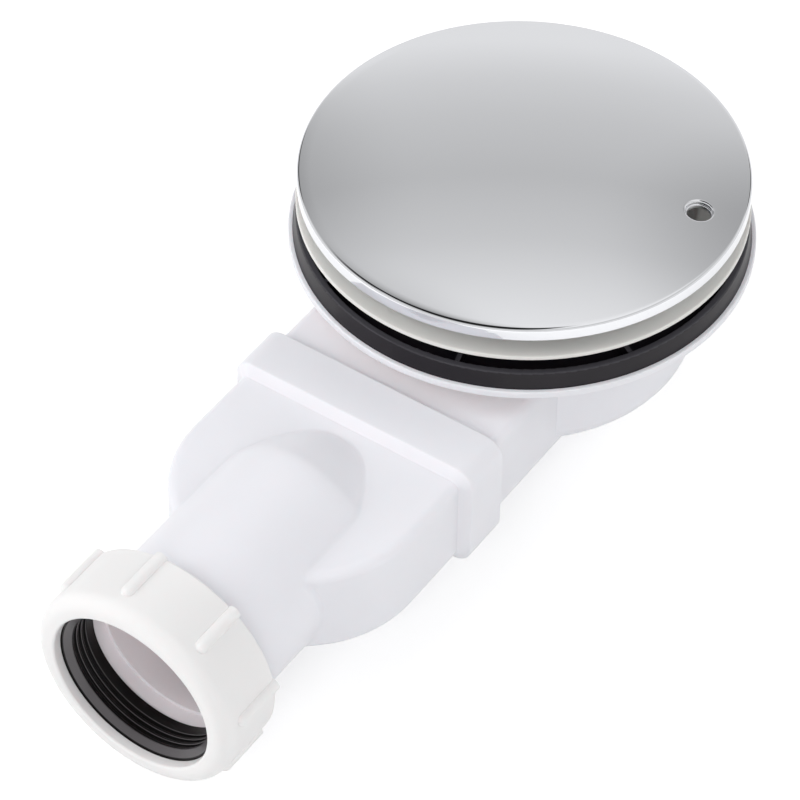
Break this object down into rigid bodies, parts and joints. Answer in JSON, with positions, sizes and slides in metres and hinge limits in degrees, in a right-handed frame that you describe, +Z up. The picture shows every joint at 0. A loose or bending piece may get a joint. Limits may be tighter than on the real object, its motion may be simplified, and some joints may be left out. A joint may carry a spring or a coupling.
{
  "type": "low profile shower trap",
  "caption": "Low profile shower trap: chrome dome over a clamping flange and shallow bowl with a lift-out dip tube, flat side duct and compression outlet for a waste pipe.",
  "frame": {"origin": "on the waste axis, in the plane where the tray gasket bears on the tray's underside", "axes": "+Z up the waste axis towards the cover, +X along the outlet towards the nut"},
  "size_m": [0.2222, 0.1176, 0.0736],
  "materials": {
    "chrome": "polished chrome plate",
    "white_plastic": "moulded white polypropylene, satin gloss",
    "nut_plastic": "moulded white polypropylene, a little warmer than the body",
    "black_rubber": "moulded black rubber, soft sheen",
    "stainless": "stainless steel screw"
  },
  "bodies": {
    "trap": {"cover_plate": "chrome", "clamp_flange": "white_plastic", "flange_seal": "black_rubber", "flange_screws": "stainless", "tray_gasket": "black_rubber", "trap_bowl": "white_plastic", "dip_tube": "white_plastic", "dip_tube_o_ring": "black_rubber", "outlet_chamber": "white_plastic"},
    "seal": {"outlet_seal": "black_rubber"},
    "nut": {"outlet_nut": "nut_plastic"}
  },
  "joints": [
    {"name": "nut_travel", "type": "slide", "parent": "trap", "child": "seal", "axis": [1, 0, 0], "range_m": [0, 0.0075]},
    {"name": "nut_turn", "type": "hinge", "parent": "seal", "child": "nut", "pos_m": [0.15375, 0, -0.0265], "axis": [1, 0, 0], "range_deg": [0, 900]}
  ],
  "couplings": [
    {"joint": "nut_turn", "follows": "nut_travel", "rad_per_m": 2094.4}
  ]
}
